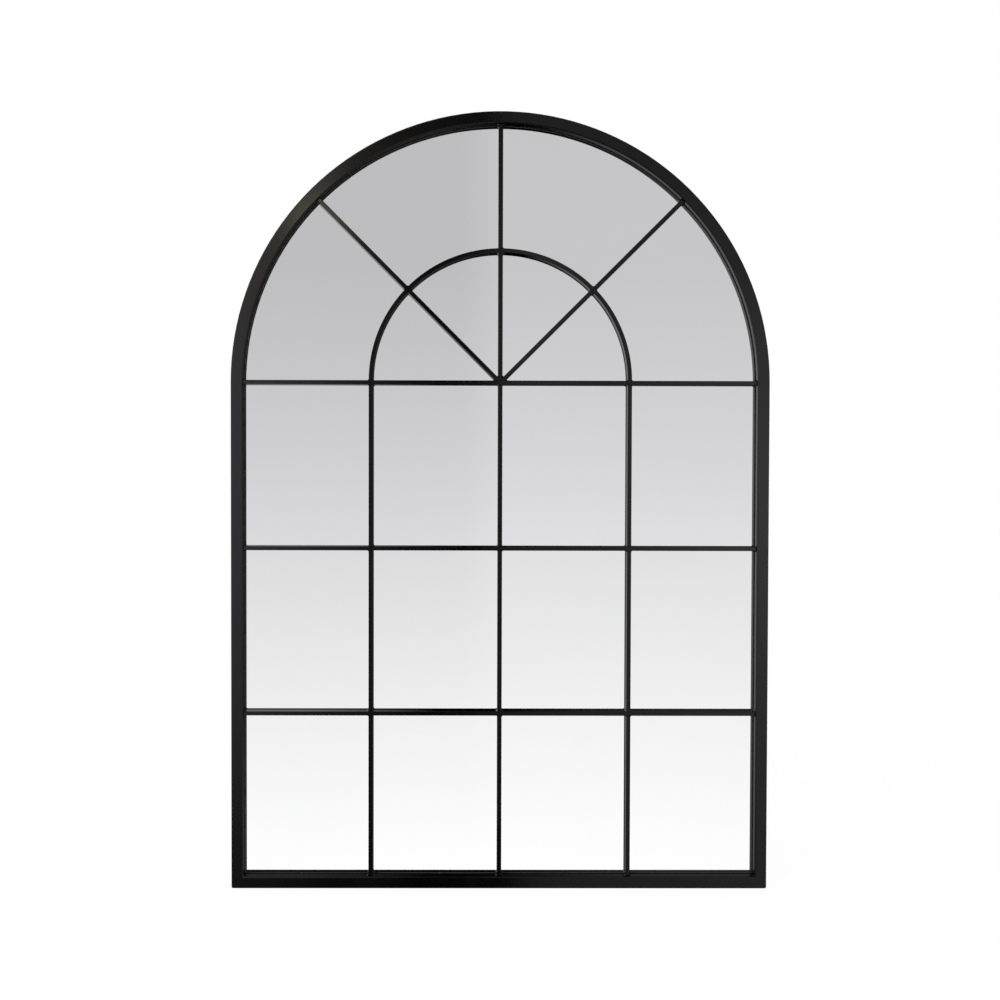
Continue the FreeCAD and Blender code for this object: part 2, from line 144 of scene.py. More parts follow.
class Graph:
    """Builds a node tree, one call for each node."""

    def __init__(self, tree: bpy.types.NodeTree) -> None:
        """Start on an empty tree.

        Args:
            tree: Node tree of a material or of the world.
        """
        self.tree = tree
        tree.nodes.clear()

    def add(self, kind: str, **settings: object) -> bpy.types.Node:
        """Add a node.

        Args:
            kind: Type of the node, without the leading ShaderNode.
            settings: Properties of the node.

        Returns:
            The new node.
        """
        node = self.tree.nodes.new("ShaderNode" + kind)
        for name, value in settings.items():
            setattr(node, name, value)
        return node

    def feed(self, target: Socket, source: Source) -> None:
        """Link a socket to the target, or set the target to a plain value.

        Args:
            target: Input of a node.
            source: Output of a node, or a number or colour.
        """
        if isinstance(source, bpy.types.NodeSocket):
            self.tree.links.new(source, target)
        else:
            target.default_value = source

    def math(self, operation: str, *inputs: Source, clamp: bool = False) -> Socket:
        """Combine numbers.

        Args:
            operation: Name of a Math operation.
            inputs: Sockets or numbers.
            clamp: Whether the result is kept from 0 to 1.

        Returns:
            The result.
        """
        node = self.add("Math", operation=operation, use_clamp=clamp)
        for target, source in zip(node.inputs, inputs):
            self.feed(target, source)
        return node.outputs[0]

    def spread(self, value: Source, low: float, high: float, to_low: float = 0.0,
               to_high: float = 1.0, smooth: bool = False) -> Socket:
        """Map one range of numbers to another, and stop at its ends.

        Args:
            value: Number to map.
            low: Start of its range.
            high: End of its range.
            to_low: Result at the start.
            to_high: Result at the end.
            smooth: Whether the result eases in and out.

        Returns:
            The result.
        """
        node = self.add("MapRange", interpolation_type="SMOOTHSTEP" if smooth else "LINEAR")
        names = ("Value", "From Min", "From Max", "To Min", "To Max")
        for name, source in zip(names, (value, low, high, to_low, to_high)):
            self.feed(node.inputs[name], source)
        return node.outputs["Result"]

    def steps(self, value: Socket, stops: Ramp) -> Socket:
        """Turn a number into a level or a colour through a ramp.

        Args:
            value: Number to look up.
            stops: Pairs of a number, rising, and the level or colour there.

        Returns:
            The colour.
        """
        low, high = stops[0][0], stops[-1][0]
        node = self.add("ValToRGB")
        ramp = node.color_ramp
        for index, (at, shade) in enumerate(stops):
            place = (at - low) / (high - low)
            stop = ramp.elements[index] if index < 2 else ramp.elements.new(place)
            stop.position = place
            colour = shade if isinstance(shade, tuple) else (shade, shade, shade)
            stop.color = (*colour, 1.0)
        self.feed(node.inputs["Fac"], self.spread(value, low, high))
        return node.outputs["Color"]

    def noise(self, vector: Socket, cloud: Cloud) -> Socket:
        """Cloudy pattern from 0 to 1.

        Args:
            vector: Place it is looked up at.
            cloud: Scale and finer layers of the pattern.

        Returns:
            The level.
        """
        node = self.add("TexNoise")
        self.feed(node.inputs["Vector"], vector)
        node.inputs["Scale"].default_value = cloud.scale
        node.inputs["Detail"].default_value = cloud.detail
        node.inputs["Roughness"].default_value = cloud.rough
        return node.outputs["Fac"]

    def combed(self, vector: Socket, turn: float, length: float) -> Socket:
        """Place for a pattern whose features are drawn out in one direction.

        Args:
            vector: Place.
            turn: Direction, in degrees about Y from X.
            length: How many times as long as wide the features are.

        Returns:
            The new place.
        """
        node = self.add("Mapping", vector_type="TEXTURE")
        self.feed(node.inputs["Vector"], vector)
        node.inputs["Rotation"].default_value = (0.0, math.radians(turn), 0.0)
        node.inputs["Scale"].default_value = (length, 1.0, 1.0)
        return node.outputs["Vector"]

    def fibres(self, vector: Socket, fibres: Fibres) -> Socket:
        """Height of short fibres that lie across each other.

        Args:
            vector: Place.
            fibres: Directions, length and pattern of the fibres.

        Returns:
            Their height; the sum of the directions when they are added.
        """
        height = 0.0
        for turn in fibres.turns:
            along = self.combed(vector, turn, fibres.length)
            height = self.math(fibres.join.value, height, self.noise(along, fibres.cloud))
        return height

    def blend(self, share: Source, first: Source, second: Source) -> Socket:
        """Mix two colours.

        Args:
            share: Share of the second.
            first: First colour.
            second: Second colour.

        Returns:
            The mixed colour.
        """
        node = self.add("Mix", data_type="RGBA")
        self.feed(node.inputs[0], share)
        self.feed(node.inputs[6], first)
        self.feed(node.inputs[7], second)
        return node.outputs[2]

    def tinted(self, tint: Socket, level: Socket) -> Socket:
        """Scale a colour.

        Args:
            tint: Colour.
            level: Number it is multiplied by.

        Returns:
            The scaled colour.
        """
        node = self.add("VectorMath", operation="SCALE")
        self.feed(node.inputs[0], tint)
        self.feed(node.inputs["Scale"], level)
        return node.outputs[0]

    def bump(self, height: Socket, relief: Relief, under: Socket | None = None) -> Socket:
        """Normal of a surface with a relief.

        Args:
            height: Height from 0 to 1.
            relief: Depth and strength of the relief.
            under: Normal of a relief below it.

        Returns:
            The normal.
        """
        node = self.add("Bump")
        node.inputs["Strength"].default_value = relief.strength
        node.inputs["Distance"].default_value = relief.depth
        self.feed(node.inputs["Height"], height)
        if under is not None:
            self.feed(node.inputs["Normal"], under)
        return node.outputs["Normal"]


class Finish:
    """Base of the finishes, each of which makes one material.

    Attributes:
        slot: Slot that it fills.
    """

    slot: Slot

    def material(self) -> bpy.types.Material:
        """Build the material, with its shader wired to the output.

        Returns:
            The material.
        """
        made = bpy.data.materials.new(self.slot.value + "_finish")
        made.use_nodes = True
        graph = Graph(made.node_tree)
        shader = graph.add("BsdfPrincipled")
        output = graph.add("OutputMaterial")
        graph.feed(output.inputs["Surface"], shader.outputs["BSDF"])
        place = graph.add("TexCoord").outputs["Object"]
        self.wire(graph, shader, place)
        return made

    def wire(self, graph: Graph, shader: bpy.types.Node, place: Socket) -> None:
        """Fill in the shader's inputs.

        Args:
            graph: Node graph of the material.
            shader: Its shader.
            place: Place on the object.
        """
        raise NotImplementedError


def dress(pieces: list[bpy.types.Object], material: bpy.types.Material) -> None:
    """Give one material to every slot of the pieces.

    Args:
        pieces: Mesh objects.
        material: Finish for all of them.
    """
    for piece in pieces:
        if not piece.material_slots:
            piece.data.materials.append(material)
        for slot in piece.material_slots:
            slot.material = material


# --------------------------------------------------------------------- finishes


@dataclass(frozen=True)
class PowderCoat(Finish):
    """Satin black powder coat on welded steel.

    Attributes:
        slot: Slot that it fills.
        dark: Darkest tone of the coat.
        pale: Palest tone of the coat.
        cloud: Slow change of tone and gloss.
        cloud_span: Levels of it at which the tone is darkest and palest.
        speck_scale: Specks per metre.
        speck_reach: Radius of a speck, as a share of the distance between specks.
        roughness: Roughness of the glossiest and the dullest places.
        roughness_span: Levels of cloud and peel that these two belong to.
        peel: Slight orange peel.
        peel_share: Share of the peel in the change of gloss.
        peel_relief: Relief of the peel.
        grain: Finest grain.
        grain_relief: Relief of the grain.
        refraction: Index of refraction.
    """

    slot: Slot = Slot.STEEL
    dark: Colour = (0.0004, 0.0004, 0.0005)
    pale: Colour = (0.0014, 0.0014, 0.0016)
    cloud: Cloud = Cloud(9.0, 4.0, 0.6)
    cloud_span: Span = (0.35, 0.65)
    speck_scale: float = 900.0
    speck_reach: float = 0.05
    roughness: Span = (0.08, 0.12)
    roughness_span: Span = (0.3, 0.7)
    peel: Cloud = Cloud(620.0, 2.0, 0.4)
    peel_share: float = 0.3
    peel_relief: Relief = Relief(0.00002, 0.6)
    grain: Cloud = Cloud(4200.0, 1.0)
    grain_relief: Relief = Relief(0.000004, 0.5)
    refraction: float = 1.5

    def wire(self, graph: Graph, shader: bpy.types.Node, place: Socket) -> None:
        """Fill in the shader's inputs.

        Args:
            graph: Node graph of the material.
            shader: Its shader.
            place: Place on the object.
        """
        cloud = graph.noise(place, self.cloud)
        peel = graph.noise(place, self.peel)
        grain = graph.noise(place, self.grain)
        specks = graph.add("TexVoronoi")
        graph.feed(specks.inputs["Vector"], place)
        specks.inputs["Scale"].default_value = self.speck_scale
        speck = graph.spread(specks.outputs["Distance"], self.speck_reach, 0.0)
        tone = graph.math("ADD", graph.spread(cloud, *self.cloud_span), speck, clamp=True)
        dark, pale = (*self.dark, 1.0), (*self.pale, 1.0)
        graph.feed(shader.inputs["Base Color"], graph.blend(tone, dark, pale))
        uneven = graph.math("SUBTRACT", peel, 0.5)
        mixed = graph.math("MULTIPLY_ADD", uneven, self.peel_share, cloud)
        gloss = graph.spread(mixed, *self.roughness_span, *self.roughness)
        graph.feed(shader.inputs["Roughness"], gloss)
        relief = graph.bump(grain, self.grain_relief)
        graph.feed(shader.inputs["Normal"], graph.bump(peel, self.peel_relief, relief))
        shader.inputs["IOR"].default_value = self.refraction


@dataclass(frozen=True)
class SilveredGlass(Finish):
    """Clear float glass, silvered.

    Attributes:
        slot: Slot that it fills.
        clear: Colour of the clearest places.
        cool: Colour of the least clear ones.
        cloud: Slow change from one to the other.
        cloud_span: Levels of it that these two belong to.
        wave: Waves from rolling the glass.
        wave_turn: Direction of the waves, in degrees about Y from X.
        wave_length: How many times as long as wide the waves are.
        wave_relief: Relief of the waves.
    """

    slot: Slot = Slot.MIRROR
    clear: Colour = (0.928, 0.928, 0.93)
    cool: Colour = (0.916, 0.916, 0.918)
    cloud: Cloud = Cloud(2.2, 3.0)
    cloud_span: Span = (0.3, 0.7)
    wave: Cloud = Cloud(14.0, 0.0)
    wave_turn: float = 90.0
    wave_length: float = 4.0
    wave_relief: Relief = Relief(0.00002, 1.0)

    def wire(self, graph: Graph, shader: bpy.types.Node, place: Socket) -> None:
        """Fill in the shader's inputs.

        Args:
            graph: Node graph of the material.
            shader: Its shader.
            place: Place on the object.
        """
        share = graph.spread(graph.noise(place, self.cloud), *self.cloud_span)
        clear, cool = (*self.clear, 1.0), (*self.cool, 1.0)
        graph.feed(shader.inputs["Base Color"], graph.blend(share, clear, cool))
        shader.inputs["Metallic"].default_value = 1.0
        shader.inputs["Roughness"].default_value = 0.0
        rolled = graph.combed(place, self.wave_turn, self.wave_length)
        wave = graph.noise(rolled, self.wave)
        graph.feed(shader.inputs["Normal"], graph.bump(wave, self.wave_relief))


@dataclass(frozen=True)
class FoamTape(Finish):
    """Black closed-cell foam tape.

    Attributes:
        slot: Slot that it fills.
        dark: Colour at the bottom of a cell, painted shade in the pit.
        pale: Colour of the skin between cells.
        cell_scale: Cells per metre.
        tone_span: Heights in a cell that these two belong to.
        cell_span: Heights in a cell that the two values of roughness belong to.
        roughness: Roughness at the bottom of a cell and between cells.
        cell_relief: Relief of the cells.
    """

    slot: Slot = Slot.FOAM
    dark: Colour = (0.018, 0.018, 0.018)
    pale: Colour = (0.05, 0.05, 0.048)
    cell_scale: float = 2600.0
    tone_span: Span = (0.1, 0.7)
    cell_span: Span = (0.0, 0.8)
    roughness: Span = (0.95, 0.8)
    cell_relief: Relief = Relief(0.0001, 0.8)

    def wire(self, graph: Graph, shader: bpy.types.Node, place: Socket) -> None:
        """Fill in the shader's inputs.

        Args:
            graph: Node graph of the material.
            shader: Its shader.
            place: Place on the object.
        """
        cells = graph.add("TexVoronoi")
        graph.feed(cells.inputs["Vector"], place)
        cells.inputs["Scale"].default_value = self.cell_scale
        depth = cells.outputs["Distance"]
        # Painted shade: the colour darkens towards the bottom of each cell and is paler on
        # the skin between cells.
        share = graph.spread(depth, *self.tone_span)
        dark, pale = (*self.dark, 1.0), (*self.pale, 1.0)
        graph.feed(shader.inputs["Base Color"], graph.blend(share, dark, pale))
        rough = graph.spread(depth, *self.cell_span, *self.roughness)
        graph.feed(shader.inputs["Roughness"], rough)
        graph.feed(shader.inputs["Normal"], graph.bump(depth, self.cell_relief))


@dataclass(frozen=True)
class Hardboard(Finish):
    """Pressed brown wood fibre, with its smooth side out.

    Attributes:
        slot: Slot that it fills.
        dark: Colour of a dark fleck.
        tones: Pairs of a level and the board's colour there.
        mottle: Slow change of tone.
        mottle_share: Share of it in the level.
        fibres: Fibres of the face.
        fibre_relief: Relief of the fibres.
        flecks: Coarser dark fibres among them.
        fleck_span: Heights of these at which a fleck begins and is full.
        level_span: Levels that the two values of roughness belong to.
        roughness: Roughness of the dark and the pale places.
    """

    slot: Slot = Slot.BOARD
    dark: Colour = (0.13, 0.068, 0.033)
    tones: Ramp = ((0.38, (0.13, 0.068, 0.033)), (0.5, (0.235, 0.136, 0.071)),
                   (0.62, (0.36, 0.235, 0.135)))
    mottle: Cloud = Cloud(5.0, 5.0, 0.65)
    mottle_share: float = 0.3
    fibres: Fibres = Fibres(Cloud(520.0, 3.0, 0.7), (14.0, 47.0, 76.0, 119.0, 157.0), 4.5,
                            Join.SUM)
    fibre_relief: Relief = Relief(0.0001, 0.6)
    flecks: Fibres = Fibres(Cloud(240.0, 3.0, 0.7), (28.0, 118.0), 5.0, Join.HIGHEST)
    fleck_span: Span = (0.68, 0.78)
    level_span: Span = (0.35, 0.65)
    roughness: Span = (0.68, 0.52)

    def wire(self, graph: Graph, shader: bpy.types.Node, place: Socket) -> None:
        """Fill in the shader's inputs.

        Args:
            graph: Node graph of the material.
            shader: Its shader.
            place: Place on the object.
        """
        fibres = graph.fibres(place, self.fibres)
        fibres = graph.math("DIVIDE", fibres, float(len(self.fibres.turns)))
        uneven = graph.math("SUBTRACT", graph.noise(place, self.mottle), 0.5)
        level = graph.math("MULTIPLY_ADD", uneven, self.mottle_share, fibres)
        colour = graph.steps(level, self.tones)
        fleck = graph.spread(graph.fibres(place, self.flecks), *self.fleck_span)
        colour = graph.blend(fleck, colour, (*self.dark, 1.0))
        graph.feed(shader.inputs["Base Color"], colour)
        rough = graph.spread(level, *self.level_span, *self.roughness)
        graph.feed(shader.inputs["Roughness"], rough)
        graph.feed(shader.inputs["Normal"], graph.bump(fibres, self.fibre_relief))


@dataclass(frozen=True)
class PressedFelt(Finish):
    """Dark grey pressed felt.

    Attributes:
        slot: Slot that it fills.
        dark: Colour between the hairs, painted shade in the gaps.
        pale: Colour of the hairs.
        hairs: Hairs of the face.
        hair_span: Heights of the hairs that these two belong to.
        hair_relief: Relief of the hairs.
        roughness: Roughness of the felt.
        sheen: Strength of its sheen.
    """

    slot: Slot = Slot.FELT
    dark: Colour = (0.018, 0.018, 0.019)
    pale: Colour = (0.1, 0.1, 0.104)
    hairs: Fibres = Fibres(Cloud(1900.0, 3.0, 0.7), (16.0, 63.0, 109.0, 158.0), 9.0,
                           Join.HIGHEST)
    hair_span: Span = (0.5, 0.78)
    hair_relief: Relief = Relief(0.0002, 1.0)
    roughness: float = 0.95
    sheen: float = 0.12

    def wire(self, graph: Graph, shader: bpy.types.Node, place: Socket) -> None:
        """Fill in the shader's inputs.

        Args:
            graph: Node graph of the material.
            shader: Its shader.
            place: Place on the object.
        """
        hairs = graph.fibres(place, self.hairs)
        # Painted shade: darker in the gaps between the hairs, paler on the hairs themselves.
        share = graph.spread(hairs, *self.hair_span)
        dark, pale = (*self.dark, 1.0), (*self.pale, 1.0)
        graph.feed(shader.inputs["Base Color"], graph.blend(share, dark, pale))
        graph.feed(shader.inputs["Normal"], graph.bump(hairs, self.hair_relief))
        shader.inputs["Roughness"].default_value = self.roughness
        shader.inputs["Sheen Weight"].default_value = self.sheen


# -------------------------------------------------------------------- modelling


def deselect() -> None:
    """Leave nothing selected."""
    if bpy.context.object and bpy.context.object.mode != "OBJECT":
        bpy.ops.object.mode_set(mode="OBJECT")
    bpy.ops.object.select_all(action="DESELECT")


def pick(piece: bpy.types.Object) -> None:
    """Select one piece and make it active.

    Args:
        piece: Object to work on.
    """
    deselect()
    piece.select_set(True)
    bpy.context.view_layer.objects.active = piece


def choose(piece: bpy.types.Object, kind: str, test: Callable[..., bool]) -> None:
    """Select the parts of a mesh that pass a test, and leave it in edit mode.

    Args:
        piece: Object, made active.
        kind: VERT, EDGE or FACE.
        test: Called with each vertex, edge or face.
    """
    pick(piece)
    bpy.ops.object.mode_set(mode="EDIT")
    bpy.ops.mesh.select_mode(type=kind)
    bpy.ops.mesh.select_all(action="DESELECT")
    bpy.ops.object.mode_set(mode="OBJECT")
    mesh = piece.data
    items = {"VERT": mesh.vertices, "EDGE": mesh.edges, "FACE": mesh.polygons}[kind]
    for item in items:
        item.select = test(item)
    bpy.ops.object.mode_set(mode="EDIT")


def merged_copy(node: str, name: str) -> bpy.types.Object:
    """Copy a frame node with its loose triangles merged into whole faces.

    Args:
        node: Name of the node.
        name: Name of the copy.

    Returns:
        The copy, at the origin and in object mode.
    """
    piece = bpy.data.objects.new(name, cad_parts[node].data.copy())
    bpy.context.scene.collection.objects.link(piece)
    pick(piece)
    bpy.ops.mesh.customdata_custom_splitnormals_clear()
    bpy.ops.object.mode_set(mode="EDIT")
    bpy.ops.mesh.select_all(action="SELECT")
    bpy.ops.mesh.remove_doubles(threshold=MERGE_WITHIN)
    bpy.ops.mesh.dissolve_limited(angle_limit=FLAT_WITHIN)
    bpy.ops.object.mode_set(mode="OBJECT")
    return piece


def ease_edges(piece: bpy.types.Object, width: float, sharp: float = 30.0,
               segments: int = 2) -> None:
    """Round the sharp edges of a piece a little.

    Args:
        piece: Object to work on.
        width: Distance that is taken off each side, in metres.
        sharp: Least angle of a sharp edge, in degrees.
        segments: Faces across the rounding.
    """
    pick(piece)
    bpy.ops.object.mode_set(mode="EDIT")
    bpy.ops.mesh.select_mode(type="EDGE")
    bpy.ops.mesh.select_all(action="DESELECT")
    bpy.ops.mesh.edges_select_sharp(sharpness=math.radians(sharp))
    bpy.ops.mesh.bevel(offset=width, offset_type="OFFSET", segments=segments,
                       affect="EDGES", clamp_overlap=True)
    bpy.ops.object.mode_set(mode="OBJECT")
    bpy.ops.object.shade_smooth_by_angle(angle=SMOOTH_UP_TO)


def stand_for(piece: bpy.types.Object, node: str) -> None:
    """Put a piece in a frame node's place.

    Args:
        piece: Piece that is shown.
        node: Node that it stands for.
    """
    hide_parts(node)
    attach(piece, BODY)


# ----------------------------------------------------------------- sub-assemblies


@dataclass
class SteelFrame:
    """Tube frame: the rolled head, two stiles and the bottom rail.

    Attributes:
        coat: Finish of the tubes.
        nodes: Frame nodes of the tubes.
    """

    coat: bpy.types.Material
    nodes: tuple[str, ...] = ("frame_head", "left_stile", "right_stile", "bottom_rail")

    def build(self) -> None:
        """Dress the tubes."""
        dress([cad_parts[name] for name in self.nodes], self.coat)
        LOG.info("steel frame: %d tubes", len(self.nodes))


@dataclass
class GlazingBars:
    """Transoms, uprights, rays and the small arch, with the welds that join them.

    Attributes:
        coat: Finish of bars and welds.
        weld_node: Frame node of the weld beads.
        ripple_pitch: Distance between two ripples of a bead.
        ripple_depth: Depth of the ripples.
        ripple_smooth: Angle up to which a bead is shaded smooth, in degrees.
        endings: Endings of the names of the bars' nodes.
    """

    coat: bpy.types.Material
    weld_node: str = "weld_beads"
    ripple_pitch: float = 0.0009
    ripple_depth: float = 0.00013
    ripple_smooth: float = 60.0
    endings: tuple[str, ...] = ("_transom", "_upright_lower", "_upright_middle",
                                "_upright_upper", "_ray_inner", "_ray_outer", "fan_arch")

    def bars(self) -> list[bpy.types.Object]:
        """Find the bars among the frame's nodes."""
        names = sorted(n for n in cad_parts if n.endswith(self.endings))
        return [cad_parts[name] for name in names]

    def welds(self) -> bpy.types.Object:
        """Model the weld beads with the ripples that each pass of the torch leaves.

        Returns:
            All the beads as one piece.
        """
        piece = merged_copy(self.weld_node, "weld_seams")
        low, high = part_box(self.weld_node)
        bpy.ops.object.mode_set(mode="EDIT")
        depth = low.y + self.ripple_pitch
        while depth < high.y - self.ripple_depth:
            bpy.ops.mesh.select_all(action="SELECT")
            bpy.ops.mesh.bisect(plane_co=(0.0, depth, 0.0), plane_no=(0.0, 1.0, 0.0))
            depth += self.ripple_pitch
        bpy.ops.object.mode_set(mode="OBJECT")
        moves = []
        for vertex in piece.data.vertices:
            row = round((vertex.co.y - low.y) / self.ripple_pitch)
            flat = Vector((vertex.normal.x, 0.0, vertex.normal.z))
            moves.append(flat * (-self.ripple_depth if row % 2 else 0.0))
        for vertex, move in zip(piece.data.vertices, moves):
            vertex.co += move
        bpy.ops.object.shade_smooth_by_angle(angle=math.radians(self.ripple_smooth))
        stand_for(piece, self.weld_node)
        return piece

    def build(self) -> None:
        """Dress the bars and model their welds."""
        bars = self.bars()
        dress(bars + [self.welds()], self.coat)
        LOG.info("glazing bars: %d bars and their welds", len(bars))


@dataclass
class GlassAndBack:
    """Mirror glass, the foam round its edge, the board behind it and the bent tabs.

    Attributes:
        finishes: Every finish by its slot.
        tab_node: Frame node of the tabs.
        tab_edge: Distance that easing takes off the edges of a tab.
        sheets: Slot of each sheet's frame node.
    """

    finishes: dict[Slot, bpy.types.Material]
    tab_node: str = "board_tabs"
    tab_edge: float = 0.00018
    sheets: dict[str, Slot] = field(default_factory=lambda: {
        "mirror_glass": Slot.MIRROR,
        "edge_tape": Slot.FOAM,
        "backing_board": Slot.BOARD,
    })

    def tabs(self) -> bpy.types.Object:
        """Model the tabs with the eased edges of cut and coated sheet.

        Returns:
            All the tabs as one piece.
        """
        piece = merged_copy(self.tab_node, "bent_tabs")
        ease_edges(piece, self.tab_edge)
        stand_for(piece, self.tab_node)
        return piece

    def build(self) -> None:
        """Dress the sheets and model the tabs."""
        for name, slot in self.sheets.items():
            dress([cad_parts[name]], self.finishes[slot])
            LOG.info("glass and back: %s in %s", name, slot.value)
        dress([self.tabs()], self.finishes[Slot.STEEL])
        LOG.info("glass and back: bent tabs")


@dataclass
class WallHangings:
    """Keyhole plates with their welds, and the felt pads that touch the wall.

    Attributes:
        finishes: Every finish by its slot.
        plate_nodes: Frame nodes of the keyhole plates.
        plate_edge: Distance that easing takes off the edges of a plate.
        weld_node: Frame node of the plates' welds.
        pad_node: Frame node of the felt pads.
        pad_corner: Distance that rounding takes off the four corners of a pad.
        pad_corner_faces: Faces round each corner.
        pad_rim: Distance that rounding takes off the rim on the wall's side.
        pad_rim_faces: Faces across the rim.
        pad_rough: Unevenness of the face on the wall's side.
        pad_cuts: Cuts of each of that face's edges.
        pad_smooth: Angle up to which a pad is shaded smooth, in degrees.
        near: Distance within which two places count as one.
    """

    finishes: dict[Slot, bpy.types.Material]
    plate_nodes: tuple[str, ...] = ("left_hanger_plate", "right_hanger_plate")
    plate_edge: float = 0.0002
    weld_node: str = "hanger_welds"
    pad_node: str = "wall_pads"
    pad_corner: float = 0.0025
    pad_corner_faces: int = 5
    pad_rim: float = 0.0006
    pad_rim_faces: int = 3
    pad_rough: float = 0.00006
    pad_cuts: int = 5
    pad_smooth: float = 50.0
    near: float = 1e-5

    def plate(self, node: str) -> bpy.types.Object:
        """Model a keyhole plate with eased edges.

        Args:
            node: Frame node of the plate.

        Returns:
            The plate.
        """
        piece = merged_copy(node, node + "_eased")
        ease_edges(piece, self.plate_edge)
        stand_for(piece, node)
        return piece

    def pad(self, side: int) -> bpy.types.Object:
        """Cut one felt pad from a block: round corners, a soft rim, an uneven face.

        Args:
            side: -1 for the left pad, 1 for the right one.

        Returns:
            The pad.
        """
        ends = [v.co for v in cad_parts[self.pad_node].data.vertices if v.co.x * side > 0]
        low = Vector([min(end[axis] for end in ends) for axis in range(3)])
        high = Vector([max(end[axis] for end in ends) for axis in range(3)])
        high.y -= self.pad_rough
        deselect()
        bpy.ops.mesh.primitive_cube_add(size=1.0, location=(0.0, 0.0, 0.0))
        piece = bpy.context.object
        piece.name = "felt_pad_" + ("left" if side < 0 else "right")
        bpy.ops.object.mode_set(mode="EDIT")
        bpy.ops.mesh.select_all(action="SELECT")
        bpy.ops.transform.resize(value=high - low)
        bpy.ops.transform.translate(value=(low + high) / 2.0)

        def depths(edge: bpy.types.MeshEdge) -> list[float]:
            """Places of an edge's two ends along Y."""
            return [piece.data.vertices[index].co.y for index in edge.vertices]

        choose(piece, "EDGE", lambda edge: max(depths(edge)) - min(depths(edge)) > self.near)
        bpy.ops.mesh.bevel(offset=self.pad_corner, segments=self.pad_corner_faces,
                           affect="EDGES")
        choose(piece, "EDGE", lambda edge: min(depths(edge)) > high.y - self.near)
        bpy.ops.mesh.bevel(offset=self.pad_rim, segments=self.pad_rim_faces, affect="EDGES")
        choose(piece, "FACE", lambda face: face.center.y > high.y - self.near)
        bpy.ops.mesh.inset(thickness=self.pad_rim)
        bpy.ops.mesh.poke()
        bpy.ops.mesh.subdivide(number_cuts=self.pad_cuts)
        bpy.ops.transform.vertex_random(offset=self.pad_rough, uniform=0.0, normal=1.0)
        bpy.ops.object.mode_set(mode="OBJECT")
        bpy.ops.object.shade_smooth_by_angle(angle=math.radians(self.pad_smooth))
        stand_for(piece, self.pad_node)
        return piece

    def build(self) -> None:
        """Model plates and pads and dress them."""
        plates = [self.plate(node) for node in self.plate_nodes]
        dress(plates + [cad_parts[self.weld_node]], self.finishes[Slot.STEEL])
        LOG.info("wall hangings: %d keyhole plates with their welds", len(plates))
        pads = [self.pad(side) for side in (-1, 1)]
        dress(pads, self.finishes[Slot.FELT])
        LOG.info("wall hangings: %d felt pads", len(pads))


# ----------------------------------------------------------------------- studio


@dataclass(frozen=True)
class Camera:
    """Camera of the photograph, measured from the middle of the frame's underside.

    Attributes:
        across: Distance to the right.
        distance: Distance out from the wall.
        height: Height above the underside.
        right_turn: Turn to the right, in degrees.
        down_tilt: Tilt downwards, in degrees.
        roll: Turn about the line of sight, in degrees.
        lens: Focal length in millimetres.
        sensor: Width of the sensor in millimetres.
        shift: Sideways shift of the picture, as a share of its width.
    """

    across: float = -0.0686
    distance: float = 2.1774
    height: float = 0.7003
    right_turn: float = 0.327
    down_tilt: float = 1.246
    roll: float = 0.127
    lens: float = 46.24
    sensor: float = 36.0
    shift: float = 0.0335

    def build(self) -> None:
        """Place the camera and make it the scene's."""
        data = bpy.data.cameras.new("front_camera")
        data.lens = self.lens
        data.sensor_width = self.sensor
        data.shift_x = self.shift
        camera = bpy.data.objects.new("front_camera", data)
        bpy.context.scene.collection.objects.link(camera)
        place = Matrix.Translation((self.across, -self.distance, CAD_LOW.z + self.height))
        turn = Matrix.Rotation(-math.radians(self.right_turn), 4, "Z")
        tilt = Matrix.Rotation(math.radians(90.0 - self.down_tilt), 4, "X")
        roll = Matrix.Rotation(math.radians(self.roll), 4, "Z")
        camera.matrix_world = place @ turn @ tilt @ roll
        bpy.context.scene.camera = camera
        LOG.info("camera at %s", tuple(round(v, 3) for v in camera.location))


@dataclass(frozen=True)
class Heading:
    """Direction in which a ray of light leaves the scene.

    Attributes:
        turn: Degrees to the right of straight out from the mirror.
        rise: Degrees above level.
    """

    turn: Socket
    rise: Socket


@dataclass(frozen=True)
class SheetInMirror:
    """Sheet that the mirror shows: white below, grey above, darker on the left.

    Attributes:
        levels: Pairs of a rise in degrees and the level there.
        cool_span: Rise over which the sheet turns cooler.
        cool_tint: Tint of the cooler part.
        left_fade: Two rises, and how much darker the left half is at each.
        seam: Turn over which the left half begins.
    """

    levels: Ramp = ((-17.5, 1.08), (-15.5, 1.055), (-11.4, 0.978), (-5.7, 0.857),
                    (-0.3, 0.747), (4.5, 0.667), (9.0, 0.613), (16.0, 0.606))
    cool_span: Span = (-5.5, -3.0)
    cool_tint: tuple[float, ...] = (1.0, 1.0, 1.02, 1.0)
    left_fade: tuple[float, ...] = (-17.0, 9.0, 0.0, 0.088)
    seam: Span = (-0.2, 2.0)

    def light(self, graph: Graph, heading: Heading) -> Socket:
        """Light that comes back along a ray.

        Args:
            graph: Graph of the world.
            heading: Direction of the ray.

        Returns:
            Its colour.
        """
        cool = graph.spread(heading.rise, *self.cool_span)
        tint = graph.blend(cool, WHITE, self.cool_tint)
        tone = graph.add("VectorMath", operation="MULTIPLY")
        graph.feed(tone.inputs[0], graph.steps(heading.rise, self.levels))
        graph.feed(tone.inputs[1], tint)
        fade = graph.spread(heading.rise, *self.left_fade)
        left = graph.spread(heading.turn, self.seam[1], self.seam[0], smooth=True)
        dim = graph.math("SUBTRACT", 1.0, graph.math("MULTIPLY", fade, left))
        return graph.tinted(tone.outputs[0], dim)


